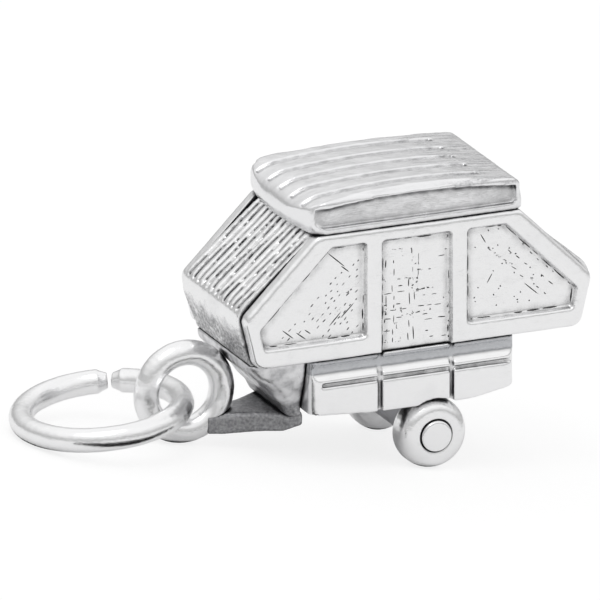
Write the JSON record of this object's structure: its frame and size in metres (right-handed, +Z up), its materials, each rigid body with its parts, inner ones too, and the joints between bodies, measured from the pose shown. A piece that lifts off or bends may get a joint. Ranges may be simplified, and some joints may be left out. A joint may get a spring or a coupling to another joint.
{
  "type": "camper trailer bracelet charm",
  "caption": "Small silver bracelet charm shaped as a folding camper trailer, opened out, with turning wheels, a hanging loop at the hitch and an open jump ring.",
  "frame": {"origin": "on the surface that the charm lies on, below the middle of its length and of its width, in the pose in which it comes to rest on its wheels, its hanging loop and its jump ring", "axes": "+X towards the rear of the trailer, +Y towards its right side, +Z up; the hitch and the jump ring are at -X"},
  "size_m": [0.024, 0.0078, 0.0128],
  "materials": {
    "polished_silver": "polished sterling silver, softly rounded and slightly uneven as cast and tumbled",
    "darkened_silver": "sterling silver left matt and darkened where no buff reaches"
  },
  "bodies": {
    "trailer": {"left_side": "polished_silver", "right_side": "polished_silver", "front_canvas": "polished_silver", "rear_canvas": "polished_silver", "roof": "polished_silver", "tent_floor": "darkened_silver", "tub": "polished_silver", "front_belly": "polished_silver", "drawbar": "polished_silver", "hanging_loop": "polished_silver", "axle_bearer": "darkened_silver", "axle": "polished_silver"},
    "left_wheel": {"left_wheel": "polished_silver"},
    "right_wheel": {"right_wheel": "polished_silver"},
    "jump_ring": {"jump_ring": "polished_silver"}
  },
  "joints": [
    {"name": "left_wheel_turn", "type": "hinge", "parent": "trailer", "child": "left_wheel", "pos_m": [0.00574, 0, 0.00154], "axis": [0, 1, 0], "continuous": true},
    {"name": "right_wheel_turn", "type": "hinge", "parent": "trailer", "child": "right_wheel", "pos_m": [0.00574, 0, 0.00154], "axis": [0, 1, 0], "continuous": true},
    {"name": "jump_ring_swing", "type": "hinge", "parent": "trailer", "child": "jump_ring", "pos_m": [-0.00492, 0, 0.00219], "axis": [0, 1, 0], "range_deg": [-95, 95]}
  ]
}
